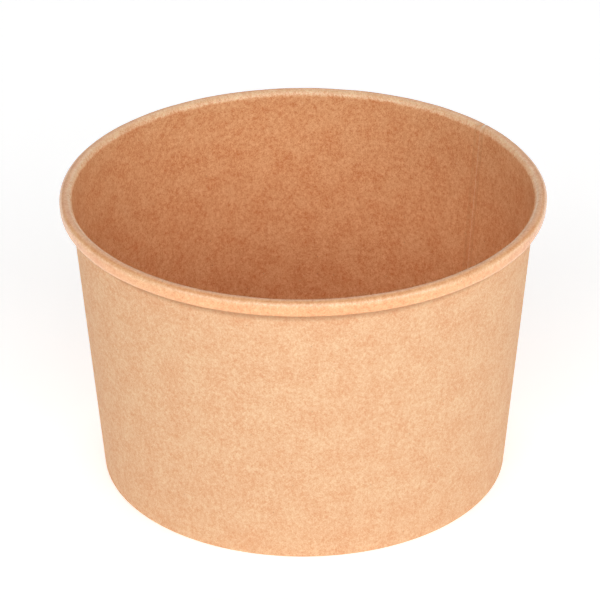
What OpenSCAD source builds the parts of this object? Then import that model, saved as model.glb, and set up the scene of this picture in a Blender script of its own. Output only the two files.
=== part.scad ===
// Paper salad bowl, millimetres, +Z up.
// The origin is the centre of the ring on which the foot rests.
//
// The side wall is one fan-shaped blank of board. Its two ends are lapped and sealed into
// a cone, its top edge is rolled outwards into the rim, and its bottom edge is folded in
// and up as a hem. The bottom is a disc whose edge is pressed down into a skirt, and the
// hem grips that skirt against the wall.

/* [Bowl] */
// Outer diameter over the rolled rim
rim_d = 150; // [140:0.5:190]
// Diameter of the wall's outer face, carried down to the table
base_d = 127.5; // [100:0.5:136]
// Height from the table to the top of the rim
height = 94; // [50:0.5:140]

/* [Board] */
// Thickness of the side wall's board
wall_board = 0.4; // [0.3:0.05:0.6]
// Thickness of the bottom disc's board
bottom_board = 0.36; // [0.25:0.01:0.6]
// Sealed gap on each face of the bottom disc's skirt
seal_gap = 0.02; // [0.01:0.01:0.1]

/* [Rolled rim] */
// Width across the roll
roll_w = 3.9; // [3:0.1:6]
// Straight outer side between the roll's upper and lower bends
roll_side = 1.4; // [0.2:0.1:4]
// Gap between the roll's cut edge and the wall where the wall is two plies thick
roll_gap = 0.1; // [0.05:0.05:0.3]

/* [Side seam] */
// Direction of the inner cut edge, anticlockwise from +X
seam_dir = 37.4; // [0:0.1:359.9]
// Width of the sealed lap, measured at the rim
lap_w = 7.5; // [4:0.5:15]
// Width of the groove that the outer ply leaves beside the inner cut edge
groove_w = 0.5; // [0.3:0.1:1.5]
// Width of the joggle in which the outer ply steps back to the inner one's place
joggle_w = 1.2; // [0.6:0.1:4]
// Small steps that the joggle is made in
joggle_steps = 1; // [1:1:3]

/* [Foot] */
// Height of the recess under the bottom disc
recess_h = 6.8; // [4:0.1:12]
// Outer radius of the bend between the bottom disc and its skirt
skirt_bend_r = 1; // [0.7:0.1:2]
// Distance from the hem's cut edge up to the start of that bend
hem_clear = 0.2; // [0.1:0.1:2]
// How far the fold is ironed flat where it rests
foot_press = 0.06; // [0.02:0.01:0.1]

/* [Hidden] */
$fn = 96;

rim_r = rim_d / 2;
base_r = base_d / 2;
roll_r = roll_w / 2;

// Pocket between the wall and the hem, in which the skirt is sealed
pocket = bottom_board + 2 * seal_gap;
fold_r = pocket / 2 + wall_board;

// Lean of the wall: its outer face starts at base_r on the table and ends tangent to the
// inside of the upper bend of the roll
roll_reach = rim_r - roll_r - base_r;
roll_rise = height - roll_r;
lean = atan2(roll_reach, roll_rise)
    - asin((roll_r - wall_board) / norm([roll_reach, roll_rise]));

// The wall's own frame: u is across the board and outwards, v is up the wall, and the
// origin is the outer face of the wall at the table
roll_u = roll_r - wall_board;
roll_top_v = (roll_rise + roll_u * sin(lean)) / cos(lean);
roll_low_v = roll_top_v - roll_side;
fold_u = -fold_r;
fold_v = (fold_r - foot_press + fold_u * sin(lean)) / cos(lean);

// Angle about the roll's lower centre at which the roll stops short of the lapped wall
roll_end = acos((roll_u - wall_board - roll_gap) / roll_r);

// Bend of the bottom disc
disc_top_z = recess_h + bottom_board;
bend_z = disc_top_z - skirt_bend_r;
bend_u = -wall_board - seal_gap - skirt_bend_r;
bend_v = (bend_z + bend_u * sin(lean)) / cos(lean);
bend_x = base_r + bend_u * cos(lean) + bend_v * sin(lean);

// The hem ends below the bend
hem_top_z = bend_z - hem_clear;
hem_u = -wall_board - pocket;
hem_top_v = (hem_top_z + hem_u * sin(lean)) / cos(lean);

// Directions at which the stretches of the wound blank meet, and how far each of them
// runs on into the next
lap_end_dir = seam_dir - angle_at_rim(lap_w);
groove_dir = seam_dir + angle_at_rim(groove_w);
joggle_dir = groove_dir + angle_at_rim(joggle_w);
step_angle = (joggle_dir - groove_dir) / joggle_steps;
run_on = step_angle / 4;

// Share of the inner ply that the sealed outer ply is merged into
seal_share = 0.1;

// Larger than the whole section, for clipping
far = rim_d + height;

// Angle that a width takes up on the rim
function angle_at_rim(width) = width / rim_r * 180 / PI;

// Places a section drawn in the wall's frame in the bowl's radial plane
module on_wall() {
    translate([base_r, 0]) rotate(-lean) children();
}

// Ring between two radii, kept between two directions at most 270 degrees apart
module ring_part(outer_r, inner_r, from, to) {
    intersection() {
        difference() {
            circle(r = outer_r);
            circle(r = inner_r);
        }
        corners = [for (k = [0:4]) from + (to - from) * k / 4];
        polygon(concat([[0, 0]], [for (a = corners) far * [cos(a), sin(a)]]));
    }
}

// Radial section of one layer of the side wall, from its cut edge in the hem to its cut
// edge in the roll. Depth is measured from the face that touches the food.
module sheet_section(depth, thickness) {
    inner = depth;
    outer = depth + thickness;
    intersection() {
        on_wall() {
            // Hem, up to its cut edge
            intersection() {
                translate([hem_u - outer, fold_v])
                    square([thickness, far]);
                translate([-far, fold_v])
                    square([far, hem_top_v - fold_v]);
            }
            // Fold
            translate([fold_u, fold_v])
                ring_part(pocket / 2 + outer, pocket / 2 + inner, 180, 360);
            // Wall
            translate([-wall_board + inner, fold_v])
                square([thickness, roll_top_v - fold_v]);
            // Upper bend of the roll
            translate([roll_u, roll_top_v])
                ring_part(roll_r - inner, roll_r - outer, 0, 180);
            // Outer side of the roll
            translate([roll_u + roll_r - outer, roll_low_v])
                square([thickness, roll_side]);
            // Lower bend of the roll, back to the wall
            translate([roll_u, roll_low_v])
                ring_part(roll_r - inner, roll_r - outer, 180 + roll_end, 360);
        }
        // The fold is pressed flat on the table
        square([far, far]);
    }
}

// One layer of the side wall between two directions
module ply(depth, thickness, from, to) {
    rotate_extrude(angle = to - from, start = from)
        sheet_section(depth, thickness);
}

// The blank, wound clockwise from its inner cut edge at seam_dir: once round the bowl,
// then over the joggle and the groove, and on over its own start as the lap
module side_wall() {
    color([0.85, 0.66, 0.47]) union() {
        ply(0, wall_board, joggle_dir, seam_dir + 360);
        for (k = [1:joggle_steps]) {
            from = joggle_dir - k * step_angle;
            ply(wall_board * k / (joggle_steps + 1), wall_board, from, from + step_angle + run_on);
        }
        ply(wall_board * (1 - seal_share), wall_board * (1 + seal_share),
            lap_end_dir, groove_dir + run_on);
    }
}

// The bottom: a flat disc, a round bend and a skirt that leans with the wall
module bottom_disc() {
    color([0.8, 0.6, 0.42]) rotate_extrude() {
        translate([0, recess_h]) square([bend_x, bottom_board]);
        translate([bend_x, bend_z])
            ring_part(skirt_bend_r, skirt_bend_r - bottom_board, -lean, 90);
        on_wall()
            translate([-wall_board - seal_gap - bottom_board, fold_v])
                square([bottom_board, bend_v - fold_v]);
    }
}

side_wall();
bottom_disc();
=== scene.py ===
# %% [markdown]
# # A kraft paper salad bowl
# The real bowl is made from two flat blanks of board. A fan-shaped one is wound into a cone
# and sealed along a lap, then its top edge is rolled outwards into the rim and its bottom
# edge is folded in and up. A disc with a turned-down skirt is sealed into that fold. This
# script dresses the measured model of the bowl, so it starts by loading that model. The
# dressed bowl has to stay inside it.

# %% Load the measured model
import math

import bmesh
import bpy
from mathutils import Matrix, Vector, noise


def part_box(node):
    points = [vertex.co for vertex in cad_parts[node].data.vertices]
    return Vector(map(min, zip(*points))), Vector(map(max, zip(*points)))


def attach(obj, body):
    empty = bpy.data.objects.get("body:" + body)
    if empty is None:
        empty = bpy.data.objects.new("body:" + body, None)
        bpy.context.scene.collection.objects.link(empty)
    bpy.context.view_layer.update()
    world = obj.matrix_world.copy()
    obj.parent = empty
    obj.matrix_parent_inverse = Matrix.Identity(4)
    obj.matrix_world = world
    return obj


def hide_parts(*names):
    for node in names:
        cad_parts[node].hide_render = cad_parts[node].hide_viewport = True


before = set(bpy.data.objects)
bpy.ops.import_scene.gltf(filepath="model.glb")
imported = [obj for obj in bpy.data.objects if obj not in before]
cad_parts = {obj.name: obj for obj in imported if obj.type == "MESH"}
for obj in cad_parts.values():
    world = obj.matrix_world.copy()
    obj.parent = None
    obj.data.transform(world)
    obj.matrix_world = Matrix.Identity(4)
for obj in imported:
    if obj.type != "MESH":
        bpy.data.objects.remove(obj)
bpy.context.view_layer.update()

print("nodes:", sorted(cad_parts))

# %% [markdown]
# ## Sizes
# Everything here is in metres. The rim's radius and the height are read from the measured
# model. The board, the roll and the fold repeat its values, so that the dressed wall lies
# where the measured wall lies. Lengths in millimetres are easier to read, so each is written
# as a number times `mm`.

# %% Sizes of the board, the roll, the lap and the foot
mm = 0.001

wall_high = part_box("side_wall")[1]
rim_r = wall_high.x
height = wall_high.z

base_r = 63.75 * mm
wall_board = 0.4 * mm
bottom_board = 0.36 * mm
seal_gap = 0.02 * mm

roll_r = 1.95 * mm
roll_side = 1.4 * mm
roll_gap = 0.1 * mm

seam_dir = math.radians(37.4)
lap_w = 7.5 * mm
joggle_w = 1.6 * mm

recess_h = 6.8 * mm
skirt_bend_r = 1 * mm
hem_clear = 0.2 * mm
foot_press = 0.06 * mm

print("rim radius", round(rim_r / mm, 2), "mm, height", round(height / mm, 2), "mm")

# %% [markdown]
# ## Camera
# The photograph was taken from about a metre away with a long lens, looking down at the
# bowl by a little over 28 degrees. The bowl's outline fixes those numbers well. The camera
# is turned and tilted by a fraction of a degree, as a hand-levelled one is.

# %% Set up the camera
camera_distance = 1.0234
camera_elevation = math.radians(28.327)
camera_turn = math.radians(0.063)
camera_tilt = math.radians(-0.279)
aim_height = 54.67 * mm
lens_mm = 196.1
sensor_mm = 36

camera_data = bpy.data.cameras.new("camera")
camera_data.lens = lens_mm
camera_data.sensor_width = sensor_mm
camera = bpy.data.objects.new("camera", camera_data)
camera.matrix_world = (
    Matrix.Translation((0, 0, aim_height))
    @ Matrix.Rotation(-camera_elevation, 4, "X")
    @ Matrix.Translation((0, -camera_distance, 0))
    @ Matrix.Rotation(math.radians(90), 4, "X")
    @ Matrix.Rotation(camera_turn, 4, "Y")
    @ Matrix.Rotation(camera_tilt, 4, "Z")
)
bpy.context.scene.collection.objects.link(camera)
bpy.context.scene.camera = camera
print("camera at", tuple(round(v, 3) for v in camera.matrix_world.translation))

# %% [markdown]
# ## The wall's own frame
# The wall leans outwards by a few degrees. It is easiest to draw its section upright, in a
# frame of its own: u runs across the board and outwards, v runs up the wall, and the origin
# is the wall's outer face at the table. One function turns that frame by the lean and sets
# it at the foot. The lean makes the wall tangent to the inside of the roll.

# %% Work out the lean and the places of the bends
roll_reach = rim_r - roll_r - base_r
roll_rise = height - roll_r
lean = math.atan2(roll_reach, roll_rise) - math.asin(
    (roll_r - wall_board) / math.hypot(roll_reach, roll_rise)
)


def radial_point(u, v):
    """The point of the bowl's XZ plane that lies at (u, v) in the wall's frame."""
    x = base_r + u * math.cos(lean) + v * math.sin(lean)
    z = -u * math.sin(lean) + v * math.cos(lean)
    return Vector((x, 0, z))


def height_on_wall(z, u):
    """The v at which a point at u across the board is z above the table."""
    return (z + u * math.sin(lean)) / math.cos(lean)


pocket = bottom_board + 2 * seal_gap
fold_r = pocket / 2
fold_u = -fold_r - wall_board
fold_v = height_on_wall(fold_r + wall_board - foot_press, fold_u)

roll_u = roll_r - wall_board
roll_top_v = height_on_wall(roll_rise, roll_u)
roll_low_v = roll_top_v - roll_side
roll_end = math.acos((roll_u - wall_board - roll_gap) / roll_r)

bend_z = recess_h + bottom_board - skirt_bend_r
bend_u = -wall_board - seal_gap - skirt_bend_r
bend_v = height_on_wall(bend_z, bend_u)
hem_u = -wall_board - pocket
hem_top_v = height_on_wall(bend_z - hem_clear, hem_u)

print("lean", round(math.degrees(lean), 2), "degrees")

# %% [markdown]
# ## A pen for sections
# Both blanks are drawn as one line of edges in the XZ plane, as a draughtsman would draw
# them: a straight stretch, then a bend, then the next straight stretch. A straight stretch
# is one vertex extruded several times. A bend is a vertex that is spun about the bend's
# centre. The line has no thickness yet: it is the side of the board that touches the food.

# %% Draw straight stretches and bends


def start_line(bm, point):
    """Puts down the first vertex of a section."""
    return [bmesh.ops.create_vert(bm, co=point)["vert"][0]]


def draw_straight(bm, line, point, pieces):
    """Extends a section to a point in equal pieces."""
    step = (point - line[-1].co) / pieces
    for _ in range(pieces):
        made = bmesh.ops.extrude_vert_indiv(bm, verts=[line[-1]])
        made["verts"][0].co += step
        line.append(made["verts"][0])


def draw_bend(bm, line, centre, degrees, pieces):
    """Extends a section round a centre. It turns clockwise where degrees are positive."""
    for _ in range(pieces):
        made = bmesh.ops.spin(
            bm,
            geom=[line[-1]],
            cent=centre,
            axis=(0, 1, 0),
            angle=math.radians(degrees / pieces),
            steps=1,
        )
        line += [v for v in made["geom_last"] if isinstance(v, bmesh.types.BMVert)]


def rows_of(bm, turns, row_length):
    """Pairs each direction with its row of vertices, because a spin makes them row after row."""
    bm.verts.ensure_lookup_table()
    starts = range(0, len(bm.verts), row_length)
    return [(turn, bm.verts[k : k + row_length]) for turn, k in zip(turns, starts)]


def distances(line):
    """How far each vertex of a section is from the first one, measured along the board."""
    along = [0]
    for before, after in zip(line, line[1:]):
        along.append(along[-1] + (after.co - before.co).length)
    return along


# %% [markdown]
# ## The side wall's section
# The line starts at the blank's cut edge in the hem, goes down to the table, round the tight
# fold, up the wall and over into the roll, and ends at the cut edge that is tucked against
# the wall. The roll gets the most pieces, because its highlight shows every flat spot.

# %% Draw the side wall's section
hem_pieces = 4
fold_pieces = 10
wall_pieces = 28
roll_top_pieces = 20
roll_side_pieces = 2
roll_low_pieces = 14

sheet = bmesh.new()
section = start_line(sheet, radial_point(hem_u, hem_top_v))
draw_straight(sheet, section, radial_point(hem_u, fold_v), hem_pieces)
draw_bend(sheet, section, radial_point(fold_u, fold_v), -180, fold_pieces)
draw_straight(sheet, section, radial_point(-wall_board, roll_top_v), wall_pieces)
wall_top = len(section) - 1
draw_bend(sheet, section, radial_point(roll_u, roll_top_v), 180, roll_top_pieces)
draw_straight(sheet, section, radial_point(roll_u + roll_r, roll_low_v), roll_side_pieces)
roll_low_centre = radial_point(roll_u, roll_low_v)
draw_bend(sheet, section, roll_low_centre, 180 - math.degrees(roll_end), roll_low_pieces)

sheet_along = distances(section)
print("section:", len(section), "vertices,", round(sheet_along[-1] / mm, 1), "mm of board")

# %% [markdown]
# ## Which way the back of the board faces
# Later steps push parts of the board backwards: where one end of the blank slips behind the
# other, and where the roll is a little uneven. For that each vertex of the section needs the
# direction of the board's back, which is the line's direction turned by a right angle.

# %% Measure the back's direction at each vertex of the section
backs = []
for k in range(len(section)):
    before = section[max(k - 1, 0)].co
    after = section[min(k + 1, len(section) - 1)].co
    run = (after - before).normalized()
    backs.append(Vector((run.z, 0, -run.x)))

# %% [markdown]
# ## Wind the blank
# The section is spun clockwise round the bowl, from the inner cut edge of the seam, once
# round and on behind its own start by the width of the lap. The steps are fine near the seam
# and coarser elsewhere. Each row of vertices is kept with its direction, because in the lap
# two rows share the same direction and only the order of winding tells them apart. Winding
# clockwise leaves the faces looking backwards, so they are reversed to look at the food.

# %% Spin the section into a wound sheet
coarse_step = math.radians(0.75)
fine_step = math.radians(0.2)
fine_reach = math.radians(2.2)
lap_angle = lap_w / rim_r

stretches = (
    (fine_reach, fine_step),
    (2 * math.pi - 2 * fine_reach, coarse_step),
    (fine_reach + lap_angle, fine_step),
)

bmesh.ops.rotate(
    sheet, verts=section, cent=(0, 0, 0), matrix=Matrix.Rotation(seam_dir, 3, "Z")
)
turns = [seam_dir]
last = section + sheet.edges[:]
for reach, step in stretches:
    steps = round(reach / step)
    made = bmesh.ops.spin(
        sheet, geom=last, cent=(0, 0, 0), axis=(0, 0, 1), angle=-reach, steps=steps
    )
    last = made["geom_last"]
    turns += [turns[-1] - reach * k / steps for k in range(1, steps + 1)]
rows = rows_of(sheet, turns, len(section))
bmesh.ops.reverse_faces(sheet, faces=sheet.faces[:])
print("wound sheet:", len(rows), "rows,", len(sheet.faces), "faces")

# %% [markdown]
# ## Make it a real sheet of board
# A perfect cone would look like plastic. In the photograph the end of the blank slips behind
# its start in a soft step, called a joggle. The rim is a little flat next to the seam, and
# the roll's width varies by about a tenth of a millimetre, which breaks up its highlight.
# Every push goes backwards or inwards, so the bowl never grows past the measured model.

# %% Push the wound sheet out of true
joggle_start = seam_dir - 2 * math.pi + joggle_w / rim_r
roll_unevenness = 0.12 * mm
roll_wave = 6 * mm
vertices_to_full = 4
flats = (
    # direction and half-width in degrees, depth in metres
    (22, 19, 0.28 * mm),
    (79, 8, 0.14 * mm),
)


def smooth_step(share):
    """Rises from 0 to 1 with level ends while share does."""
    t = min(max(share, 0), 1)
    return t * t * (3 - 2 * t)


def slip_behind(turn):
    """How far the blank lies behind its own start, for a direction of winding."""
    return (wall_board + seal_gap) * smooth_step((joggle_start - turn) * rim_r / joggle_w)


def flatness(turn, z):
    """How far the rim is pressed inwards from a true circle."""
    depth = 0
    for direction, half_width, most in flats:
        away = (math.degrees(turn) - direction + 180) % 360 - 180
        depth += most * smooth_step(1 - abs(away) / half_width)
    return depth * (z / height) ** 2


def unevenness(point):
    """How far the roll is pressed towards its own middle."""
    return roll_unevenness * (0.5 + 0.5 * noise.noise(point / roll_wave))


for turn, row in rows:
    outwards = Vector((math.cos(turn), math.sin(turn), 0))
    spin = Matrix.Rotation(turn, 3, "Z")
    for k, vert in enumerate(row):
        push = slip_behind(turn)
        push += unevenness(vert.co) * smooth_step((k - wall_top) / vertices_to_full)
        vert.co += push * (spin @ backs[k])
        vert.co -= flatness(turn, vert.co.z) * outwards
print("joggle", joggle_w / mm, "mm wide, flats", len(flats))

# %% [markdown]
# ## Lay a map on the sheet
# The fibres of the board lie in the sheet, so their pattern must follow it round the bowl and
# over the roll. A UV map does that: it gives each point of the sheet its place on the flat
# blank. One unit of the map is half a metre, which keeps the whole blank inside the map.

# %% Give the sheet its map
map_span = 0.5
map_name = "blank"
mid_r = (base_r + rim_r) / 2

blank_map = sheet.loops.layers.uv.new(map_name)
place_on_blank = {}
for turn, row in rows:
    for distance, vert in zip(sheet_along, row):
        around = (seam_dir - turn) * mid_r
        place_on_blank[vert] = (around / map_span, distance / map_span)
for face in sheet.faces:
    for loop in face.loops:
        loop[blank_map].uv = place_on_blank[loop.vert]
blank_length = (rows[0][0] - rows[-1][0]) * mid_r / mm
print("blank:", round(blank_length), "mm long")

# %% [markdown]
# ## From sheet to board
# The Solidify modifier gives the sheet its thickness on the back's side, and closes the cut
# edges. It also gives each side its own material: the side that touches the food has a thin
# film, the back is bare board, and the cut edges show the fibres. Its result is made real,
# because the fold still has to be pressed after it.

# %% Thicken a sheet
sharp_from = math.radians(50)


def thicken(name, bm, thickness, materials):
    """An object of board, whose sheet's faces point to the food side."""
    mesh = bpy.data.meshes.new(name + "_sheet")
    bm.normal_update()
    bm.to_mesh(mesh)
    bm.free()
    for material in materials:
        mesh.materials.append(material)
    draft = bpy.data.objects.new(name + "_draft", mesh)
    bpy.context.scene.collection.objects.link(draft)
    solidify = draft.modifiers.new("board", "SOLIDIFY")
    solidify.thickness = thickness
    solidify.offset = -1
    solidify.material_offset = 1
    solidify.material_offset_rim = 2
    depsgraph = bpy.context.evaluated_depsgraph_get()
    solid = bpy.data.meshes.new_from_object(draft.evaluated_get(depsgraph))
    solid.name = name
    bpy.data.objects.remove(draft)
    bpy.data.meshes.remove(mesh)
    piece = bpy.data.objects.new(name, solid)
    bpy.context.scene.collection.objects.link(piece)
    return piece


def smooth_but_for_cut_edges(piece):
    """Shades the board smoothly and keeps its cut edges crisp."""
    piece.data.shade_smooth()
    piece.data.set_sharp_from_angle(angle=sharp_from)


# %% [markdown]
# ## Kraft board
# Kraft board is matt and never one flat colour. Its pulp is cloudy, short fibres lie across
# each other in all directions, some paler and some darker than the rest, and there are a few
# dark specks of bark and pale flecks. All of it is drawn by noise on the blank's map, in
# millimetres. A few small helpers keep the node setup readable.

# %% Helpers for nodes


def add_node(tree, kind, settings=None, inputs=None):
    """Adds a shader node, sets its properties, and sets or links its inputs."""
    made = tree.nodes.new(kind)
    for name, value in (settings or {}).items():
        setattr(made, name, value)
    for name, value in (inputs or {}).items():
        socket = made.inputs[name]
        if isinstance(value, bpy.types.NodeSocket):
            tree.links.new(value, socket)
        else:
            socket.default_value = value
    return made


def calculate(tree, operation, first, second):
    """A Math node's result."""
    node = add_node(tree, "ShaderNodeMath", {"operation": operation}, {0: first, 1: second})
    return node.outputs[0]


def rise(tree, value, low, high):
    """A value that goes smoothly from 0 at low to 1 at high."""
    node = add_node(
        tree,
        "ShaderNodeMapRange",
        {"interpolation_type": "SMOOTHSTEP"},
        {"Value": value, "From Min": low, "From Max": high},
    )
    return node.outputs[0]


def mix_colour(tree, share, first, second, blend="MIX"):
    """A Mix node's colour. Its two colours are sockets 6 and 7, and the result is 2."""
    node = add_node(
        tree,
        "ShaderNodeMix",
        {"data_type": "RGBA", "blend_type": blend},
        {0: share, 6: first, 7: second},
    )
    return node.outputs[2]


def noise_on_map(tree, where, scale, detail, roughness=0.5):
    """Plain two-dimensional noise, with about one swell for each 1 / scale millimetres."""
    node = add_node(
        tree,
        "ShaderNodeTexNoise",
        {"noise_dimensions": "2D"},
        {"Vector": where, "Scale": scale, "Detail": detail, "Roughness": roughness},
    )
    return node.outputs[0]


# %% [markdown]
# ## Fibres and specks
# A fibre is noise that is stretched along one direction and kept only where it is strong.
# Several layers at different headings cross each other like the fibres in pulp. A speck is
# the middle of a cell of a Voronoi pattern, kept only in a few cells that are picked by the
# cell's own random colour.

# %% Draw fibres and specks
layer_shift = (7.3, 3.1)
fibre_begins = 0.52
fibre_full = 0.78
speck_middle = 0.4


def stretched_noise(tree, where, along, across, roughness=0.5):
    """Noise whose swells have their own length along and across the map's first direction."""
    stretched = add_node(
        tree,
        "ShaderNodeVectorMath",
        {"operation": "MULTIPLY"},
        {0: where, 1: (1 / along, 1 / across, 1)},
    )
    return noise_on_map(tree, stretched.outputs[0], 1.0, detail=1.0, roughness=roughness)


def fibres(tree, where, headings, length, width):
    """Short strokes at each heading, as one value: 1 on a fibre and 0 between them."""
    drawn = 0.0
    for k, heading in enumerate(headings):
        turned = add_node(
            tree,
            "ShaderNodeMapping",
            None,
            {
                "Vector": where,
                "Location": (layer_shift[0] * k, layer_shift[1] * k, 0),
                "Rotation": (0, 0, math.radians(heading)),
            },
        )
        strokes = stretched_noise(tree, turned.outputs[0], length, width, roughness=0.6)
        kept = rise(tree, strokes, fibre_begins, fibre_full)
        drawn = calculate(tree, "MAXIMUM", kept, drawn)
    return drawn


def specks(tree, where, per_mm, radius, share, shift):
    """Small round spots in a share of the cells: 1 in a spot and 0 elsewhere."""
    moved = add_node(
        tree, "ShaderNodeVectorMath", {"operation": "ADD"}, {0: where, 1: (shift, shift, 0)}
    )
    cells = add_node(
        tree,
        "ShaderNodeTexVoronoi",
        {"voronoi_dimensions": "2D"},
        {"Vector": moved.outputs[0], "Scale": per_mm},
    )
    reach = radius * per_mm
    near = rise(tree, cells.outputs["Distance"], reach, speck_middle * reach)
    pick = add_node(tree, "ShaderNodeSeparateColor", None, {0: cells.outputs["Color"]})
    chosen = calculate(tree, "LESS_THAN", pick.outputs[0], share)
    return calculate(tree, "MULTIPLY", near, chosen)


# %% [markdown]
# ## The pulp's light and dark
# Five things make kraft board light in one place and dark in another, each at its own size:
# clouds of a centimetre, where the pulp lies thicker, mottle and grain below that, and pale
# and dark fibres. Each is a value that swings round 0. They are added up with their own
# strengths into one share, which is 0.5 on average and later picks the colour. Adding is
# better here than painting one over the other, because no layer hides the ones below it.

# %% Add up the pulp's light and dark
cloud_scale = 0.13
cloud_low = 0.25
cloud_high = 0.75
mottle_scale = 0.7
grain_scale = 1.9

pale_headings = (45, 90, 135)
dark_headings = (40, 95, 140)
fibre_length = 1.8
fibre_width = 0.28

cloud_strength = 0.32
mottle_strength = 1.1
grain_strength = 1.0
fibre_strength = 0.36


def swing(tree, value, strength):
    """A value between 0 and 1, turned into one that swings round 0."""
    away = calculate(tree, "SUBTRACT", value, 0.5)
    return calculate(tree, "MULTIPLY", away, strength)


def pulp(tree, where, relief):
    """The share that picks the colour, from the clouds, the mottle, the grain and the fibres."""
    clouds = noise_on_map(tree, where, cloud_scale, detail=3.0, roughness=0.6)
    clouds = rise(tree, clouds, cloud_low, cloud_high)
    mottle = noise_on_map(tree, where, mottle_scale, detail=2.0, roughness=0.6)
    grain = noise_on_map(tree, where, grain_scale, detail=1.0)
    share = calculate(tree, "ADD", swing(tree, clouds, cloud_strength), 0.5)
    share = calculate(tree, "ADD", share, swing(tree, mottle, mottle_strength))
    share = calculate(tree, "ADD", share, swing(tree, grain, grain_strength))
    return calculate(tree, "ADD", share, calculate(tree, "MULTIPLY", relief, fibre_strength))


# %% [markdown]
# ## The roll, its painted highlights and the painted shade under it
# Two bands on the roll, its inner shoulder and its outer crown, are painted paler: they are
# painted highlights, the two bright lines of a rolled rim. Rolling also presses the pulp
# smoother and leaves fine creases across the roll. Right under the roll, where the two nearly
# touch, painted shade darkens the wall a little. The map's second coordinate is the distance
# along the board from the hem's edge, so each of these is a band on the map. The bands have
# soft edges, because a hard one would look drawn.

# %% Find the roll
# widths and distances are in millimetres
roll_starts = sheet_along[wall_top] / mm
roll_span = 30
roll_edge = 1
roll_calm = 0.4

highlight_band_edge = 0.6
# painted highlights: the roll's two bright lines, painted as paler bands
painted_highlight_bands = (
    # start and end, in millimetres from where the roll starts, and strength
    (0.0, 2.3, 1.0),
    (4.4, 5.6, 0.55),
)

# painted shade on the wall right under the roll, where the two nearly touch
under_roll = (-6.0, -1.0)
under_edge = 1
shade_colour_under_roll = (0.42, 0.2, 0.09, 1)

crease_width = 0.5
crease_length = 6
crease_strength = 0.25


def on_band(tree, where, low, high, edge, axis=1):
    """1 between two distances along one axis of the map, with soft edges, and 0 elsewhere."""
    place = add_node(tree, "ShaderNodeSeparateXYZ", None, {0: where}).outputs[axis]
    begins = rise(tree, place, low - edge, low + edge)
    ends = rise(tree, place, high + edge, high - edge)
    return calculate(tree, "MULTIPLY", begins, ends)


def on_roll(tree, where):
    """1 on the roll and 0 on the rest of the board."""
    return on_band(tree, where, roll_starts + roll_edge, roll_starts + roll_span, roll_edge)


def roll_tone_and_highlights(tree, where, roll, side, pale):
    """How much lighter than the wall each place is, channel by channel: 1 off the roll, most on
    its painted highlights.
    """
    ratio = mix_colour(tree, roll, (1, 1, 1, 1), side)
    # each pale band is a painted highlight
    for low, high, strength in painted_highlight_bands:
        highlight_band = on_band(tree, where, roll_starts + low, roll_starts + high, highlight_band_edge)
        ratio = mix_colour(tree, calculate(tree, "MULTIPLY", highlight_band, strength), ratio, pale)
    return ratio


def creases(tree, where, roll):
    """Fine streaks across the roll, which swing round 0."""
    streaks = stretched_noise(tree, where, crease_width, crease_length)
    return calculate(tree, "MULTIPLY", swing(tree, streaks, crease_strength), roll)


def shade_under_roll(tree, where, tint, strength):
    """Darkens a tint right under the roll with painted shade."""
    low, high = under_roll
    under = on_band(tree, where, roll_starts + low, roll_starts + high, under_edge)
    return mix_colour(tree, calculate(tree, "MULTIPLY", under, strength), tint, shade_colour_under_roll)


print("the roll starts", round(roll_starts, 1), "mm along the board")

# %% [markdown]
# ## The seam's pale cut, its painted highlight and its painted shade
# The seam is pressed between hot bars. The inner end of the blank stops there in a cut edge.
# Its corner is pale, partly because the cut opens the fibres and partly from a painted
# highlight, most of all on the roll. Narrow strips on both sides of it are darkened with
# painted shade, beside the step of the lap. The map's first coordinate is the distance along
# the blank from that cut. It is small on one side of the seam, and on the other side it is a
# little less than where the lap starts.

# %% Mark the seam
# widths and distances are in millimetres
# the pale corner: partly opened fibres, partly a painted highlight
cut_before = -1
cut_corner = 0.45
cut_soft = 0.12
cut_strength = 0.22
cut_on_roll = 0.7

# painted shade on narrow strips beside the seam
strip_starts = 0.9
strip_ends = 1.8
strip_soft = 0.4
strip_strength = 0.3
seam_shade_colour = (0.62, 0.26, 0.1, 1)
lap_starts = blank_length - lap_w / mm


def pale_cut_with_highlight(tree, where, roll):
    """How strongly the pale corner of the cut shows, partly opened fibres and partly a painted
    highlight, most of all on the roll.
    """
    corner = on_band(tree, where, cut_before, cut_corner, cut_soft, axis=0)
    strength = calculate(tree, "MULTIPLY", roll, cut_on_roll)
    strength = calculate(tree, "ADD", strength, cut_strength)
    return calculate(tree, "MULTIPLY", corner, strength)


def seam_shade_strips(tree, where):
    """How strongly the painted shade on the strips on both sides of the seam shows."""
    inner = on_band(tree, where, strip_starts, strip_ends, strip_soft, axis=0)
    outer = on_band(tree, where, lap_starts - strip_ends, lap_starts, strip_soft, axis=0)
    return calculate(tree, "MULTIPLY", calculate(tree, "ADD", inner, outer), strip_strength)


print("the lap starts", round(lap_starts, 1), "mm along the blank")

# %% [markdown]
# ## The recipe for kraft board
# The food side has a thin clear film, and the roll a full one. It makes the colour deeper
# and gives a soft shine, which is a clear coat on the shader. The back is bare and dull. The
# cut edges are pale, because the cut opens the fibres. All three share one recipe: a mean
# colour, and how far red, green and blue swing round it. Blue swings the most and red the
# least, as in all brown paper.

# %% Write the recipe
bark_colour = (0.26, 0.12, 0.06, 1)
# pale flecks in the pulp; the cut corner's painted highlight uses this colour too
fleck_and_cut_highlight_colour = (0.92, 0.74, 0.54, 1)
# cells per millimetre, radius in millimetres, share of the cells with a spot, shift
bark_specks = (0.16, 0.19, 0.12, 11)
pale_flecks = (0.22, 0.17, 0.06, 5)
speck_strength = 0.6

relief_depth = 0.03 * mm
film_roughness = 0.25
film_ior = 1.6


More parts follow.
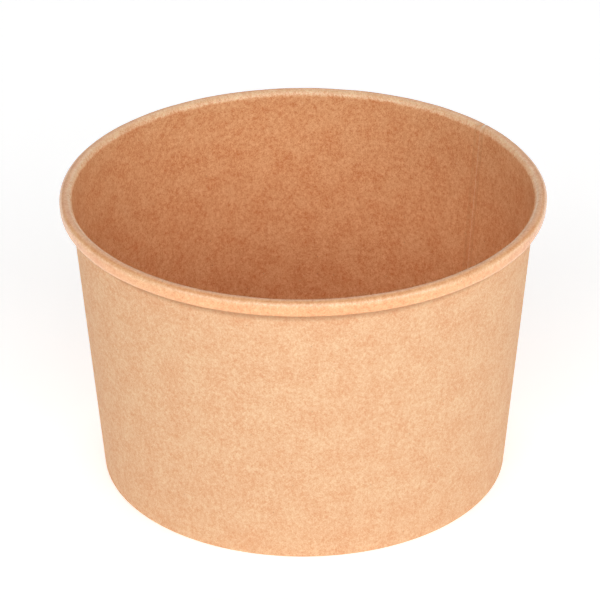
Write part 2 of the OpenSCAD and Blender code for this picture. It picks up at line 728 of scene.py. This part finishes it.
def place_in_mm(tree):
    """The place on the flat blank, in millimetres."""
    mapped = add_node(tree, "ShaderNodeUVMap", {"uv_map": map_name})
    to_mm = map_span / mm
    scaled = add_node(
        tree,
        "ShaderNodeMapping",
        None,
        {"Vector": mapped.outputs[0], "Scale": (to_mm, to_mm, 1)},
    )
    return scaled.outputs[0]


def compare(colour, other):
    """How much lighter the other colour is, channel by channel."""
    return (*(b / a for a, b in zip(colour, other)), 1)


def pulp_colour(tree, where, roll, relief, colour, swings):
    """The pulp's light and dark as a colour, calmer on the roll."""
    share = calculate(tree, "ADD", pulp(tree, where, relief), creases(tree, where, roll))
    calm = calculate(tree, "MULTIPLY", roll, roll_calm)
    # a Mix node's two plain values are sockets 2 and 3
    share = add_node(tree, "ShaderNodeMix", None, {0: calm, 2: share, 3: 0.5}).outputs[0]
    deep = [c * (1 - k) for c, k in zip(colour, swings)]
    light = [c * (1 + k) for c, k in zip(colour, swings)]
    return mix_colour(tree, share, (*deep, 1), (*light, 1))


def speckle(tree, where, tint):
    """Puts the bark specks and the pale flecks on a tint."""
    for spots, spot_colour in ((bark_specks, bark_colour), (pale_flecks, fleck_and_cut_highlight_colour)):
        drawn = calculate(tree, "MULTIPLY", specks(tree, where, *spots), speck_strength)
        tint = mix_colour(tree, drawn, tint, spot_colour)
    return tint


def kraft(
    name, colour, swings, roughness, gloss, bump, film=0.0, rolled=None, highlight_colour=None, shaded=0.0
):
    """Kraft board: colour is its mean, and swings says how far each channel goes round it.

    The film is a share of a full coat. On the roll the board has the colour rolled, and on its
    painted highlights the colour highlight_colour. The painted shade under the roll is as strong
    as shaded says.
    """
    material = bpy.data.materials.new(name)
    material.use_nodes = True
    tree = material.node_tree
    tree.nodes.clear()
    where = place_in_mm(tree)
    roll = on_roll(tree, where)

    pale = fibres(tree, where, pale_headings, fibre_length, fibre_width)
    dark = fibres(tree, where, dark_headings, fibre_length, fibre_width)
    relief = calculate(tree, "SUBTRACT", pale, dark)
    tint = pulp_colour(tree, where, roll, relief, colour, swings)
    sealed = film
    if rolled:
        side = compare(colour, rolled)
        ratio = roll_tone_and_highlights(tree, where, roll, side, compare(colour, highlight_colour))
        # the roll's own colour, and painted highlights on its two bands
        tint = mix_colour(tree, 1.0, tint, ratio, "MULTIPLY")
        sealed = calculate(tree, "ADD", film, calculate(tree, "MULTIPLY", roll, 1 - film))
    if shaded:
        # painted shade on the wall under the roll
        tint = shade_under_roll(tree, where, tint, shaded)
    tint = speckle(tree, where, tint)
    if rolled:
        # painted shade beside the seam, and the cut's pale corner with its painted highlight
        tint = mix_colour(tree, seam_shade_strips(tree, where), tint, seam_shade_colour)
        tint = mix_colour(tree, pale_cut_with_highlight(tree, where, roll), tint, fleck_and_cut_highlight_colour)

    bumped = add_node(
        tree,
        "ShaderNodeBump",
        None,
        {"Strength": bump, "Distance": relief_depth, "Height": relief},
    )
    shader = add_node(
        tree,
        "ShaderNodeBsdfPrincipled",
        None,
        {
            "Base Color": tint,
            "Roughness": roughness,
            "Specular IOR Level": gloss,
            "Coat Weight": sealed,
            "Coat Roughness": film_roughness,
            "Coat IOR": film_ior,
            "Normal": bumped.outputs[0],
        },
    )
    add_node(tree, "ShaderNodeOutputMaterial", None, {"Surface": shader.outputs[0]})
    return material


# %% [markdown]
# ## The three finishes of the board
# Each finish is the recipe with its own numbers. The roll and its two painted highlights have
# colours of their own, and only the bare side gets painted shade under the roll.

# %% Mix the three finishes
food_side = kraft(
    "kraft_food_side",
    colour=(0.82, 0.406, 0.187),
    swings=(0.135, 0.36, 0.50),
    roughness=0.7,
    gloss=0.2,
    bump=0.3,
    film=0.2,
    rolled=(0.90, 0.44, 0.20),
    # colour of the painted highlights on the roll's two bright lines
    highlight_colour=(1.0, 0.63, 0.365),
)
bare_side = kraft(
    "kraft_bare_side",
    colour=(0.765, 0.452, 0.254),
    swings=(0.08, 0.25, 0.33),
    roughness=0.8,
    gloss=0.25,
    bump=0.3,
    # strength of the painted shade under the roll
    shaded=0.5,
)
cut_edge = kraft(
    "kraft_cut_edge",
    colour=(0.86, 0.62, 0.42),
    swings=(0.06, 0.15, 0.2),
    roughness=0.9,
    gloss=0.1,
    bump=0.5,
)
board_finishes = (food_side, bare_side, cut_edge)
print("finishes:", [m.name for m in board_finishes])

# %% [markdown]
# ## The side wall
# The wound sheet gets its thickness, and then the fold is pressed flat where it stands on the
# table, as the real one is ironed. In the lap two layers of board lie under each other there,
# so everything near the table is squeezed by just as much as the lower one needs.

# %% Make the side wall
press_height = 1.2 * mm

side_wall = thicken("bowl_wall", sheet, wall_board, board_finishes)
pressed = bmesh.new()
pressed.from_mesh(side_wall.data)
for vert in pressed.verts:
    azimuth = math.atan2(vert.co.y, vert.co.x)
    past_seam = (seam_dir - azimuth) % (2 * math.pi)
    in_lap = past_seam <= lap_angle
    behind = wall_board + seal_gap if in_lap else slip_behind(azimuth - 2 * math.pi)
    if vert.co.z < press_height:
        squeeze = (press_height + foot_press) / (press_height + foot_press + behind)
        vert.co.z = press_height - (press_height - vert.co.z) * squeeze
    vert.co.z = max(vert.co.z, 0)
pressed.to_mesh(side_wall.data)
pressed.free()
smooth_but_for_cut_edges(side_wall)

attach(side_wall, "root")
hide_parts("side_wall")
print("side wall:", len(side_wall.data.polygons), "faces")

# %% [markdown]
# ## The bottom disc
# The disc is flat, bends over a millimetre's radius, and its skirt runs down between the wall
# and the hem. Only its top shows inside and its underside in the recess of the foot. It is
# one line again, from the middle outwards, spun once round and merged at the pole.

# %% Make the bottom disc
disc_rings = 24
bend_pieces = 8
skirt_pieces = 4
disc_steps = 240
skirt_clear = 0.25 * mm
merge_reach = 0.001 * mm
map_middle = Vector((0.5, 0.5))

disc_top = recess_h + bottom_board
bend_centre = radial_point(bend_u, bend_v)
skirt_u = -wall_board - seal_gap

disc = bmesh.new()
spoke = start_line(disc, Vector((0, 0, disc_top)))
draw_straight(disc, spoke, Vector((bend_centre.x, 0, disc_top)), disc_rings)
draw_bend(disc, spoke, bend_centre, 90 + math.degrees(lean), bend_pieces)
draw_straight(disc, spoke, radial_point(skirt_u, fold_v + skirt_clear), skirt_pieces)
disc_along = distances(spoke)

bmesh.ops.spin(
    disc,
    geom=spoke + disc.edges[:],
    cent=(0, 0, 0),
    axis=(0, 0, 1),
    angle=2 * math.pi,
    steps=disc_steps,
    use_merge=True,
)
disc_turns = [2 * math.pi * k / disc_steps for k in range(disc_steps)]

disc_map = disc.loops.layers.uv.new(map_name)
place_on_disc = {}
for turn, row in rows_of(disc, disc_turns, len(spoke)):
    for distance, vert in zip(disc_along, row):
        spot = Vector((math.cos(turn), math.sin(turn))) * distance / map_span
        place_on_disc[vert] = spot + map_middle
for face in disc.faces:
    for loop in face.loops:
        loop[disc_map].uv = place_on_disc[loop.vert]
bmesh.ops.remove_doubles(disc, verts=disc.verts, dist=merge_reach)
bmesh.ops.recalc_face_normals(disc, faces=disc.faces)

bottom = thicken("bowl_bottom", disc, bottom_board, board_finishes)
smooth_but_for_cut_edges(bottom)

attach(bottom, "root")
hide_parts("bottom_disc")
print("bottom:", len(bottom.data.polygons), "faces")

# %% [markdown]
# ## Floor
# The bowl stands on a plain white table. The photograph's background is pure white and its
# bowl casts no visible shadow, and the underside of its roll and the foot of its wall are as
# bright as the rest. So the table is lit from below as well, like a photographer's light
# table: its white paper glows a little.

# %% Lay the floor
floor_size = 12
floor_white = (0.88, 0.88, 0.88, 1)
lamp_white = (1, 1, 1, 1)
floor_roughness = 0.9
floor_glow = 0.48

floor_bm = bmesh.new()
bmesh.ops.create_grid(floor_bm, x_segments=1, y_segments=1, size=floor_size / 2)
floor_mesh = bpy.data.meshes.new("floor")
floor_bm.to_mesh(floor_mesh)
floor_bm.free()
floor = bpy.data.objects.new("floor", floor_mesh)
bpy.context.scene.collection.objects.link(floor)

paper_white = bpy.data.materials.new("floor_white")
paper_white.use_nodes = True
paper = paper_white.node_tree.nodes["Principled BSDF"]
paper.inputs["Base Color"].default_value = floor_white
paper.inputs["Roughness"].default_value = floor_roughness
paper.inputs["Emission Color"].default_value = lamp_white
paper.inputs["Emission Strength"].default_value = floor_glow
floor_mesh.materials.append(paper_white)
print("floor:", floor_size, "m wide, glow", floor_glow)

# %% [markdown]
# ## Light
# The photograph has no hard shadow, so every lamp is a large softbox. Each one is placed by
# its direction, counted from the viewer's side to the right, and by its height, both in
# degrees. All hang equally far away and face the bowl, so that their watts can be compared.
# The bright lines on the roll show where the strongest ones hang: three in front, about as
# high as the camera. Weaker ones hang above, at the sides and behind, and a long low one
# stands for the bright backdrop.

# %% Hang the lights
aim = Vector((0, 0, 50 * mm))
lamp_distance = 1.9
softboxes = (
    # name, direction and height in degrees, width and height in metres, watts
    ("light_front", 0, 35, 1.38, 0.9, 11.2),
    ("light_front_left", -45, 30, 1.38, 0.9, 8.7),
    ("light_front_right", 45, 22, 1.38, 0.9, 11.8),
    ("light_above", 0, 58, 1.0, 0.8, 3.4),
    ("light_left", -100, 8, 1.2, 0.4, 2.7),
    ("light_right", 100, 8, 1.2, 0.4, 3.5),
    ("light_backdrop", 180, 7.5, 3.4, 0.45, 5.2),
    ("light_back", 180, 34, 2.8, 0.6, 5.8),
    ("light_back_above", 180, 56, 1.6, 0.6, 5.2),
)


def hang_softbox(name, direction, elevation, width, tall, watts):
    """An area light on a sphere round the bowl, which faces the bowl."""
    data = bpy.data.lights.new(name, "AREA")
    data.shape = "RECTANGLE"
    data.size = width
    data.size_y = tall
    data.energy = watts
    across, up = math.radians(direction), math.radians(elevation)
    towards = Vector(
        (math.sin(across) * math.cos(up), -math.cos(across) * math.cos(up), math.sin(up))
    )
    light = bpy.data.objects.new(name, data)
    light.location = towards * lamp_distance
    light.rotation_euler = (aim - light.location).to_track_quat("-Z", "Y").to_euler()
    bpy.context.scene.collection.objects.link(light)


for softbox in softboxes:
    hang_softbox(*softbox)

world = bpy.data.worlds.new("studio")
world.use_nodes = True
world.node_tree.nodes["Background"].inputs["Color"].default_value = lamp_white
world.node_tree.nodes["Background"].inputs["Strength"].default_value = 0
bpy.context.scene.world = world
bpy.context.scene.view_settings.view_transform = "Standard"
print("softboxes:", len(softboxes), "with", round(sum(s[-1] for s in softboxes)), "W")
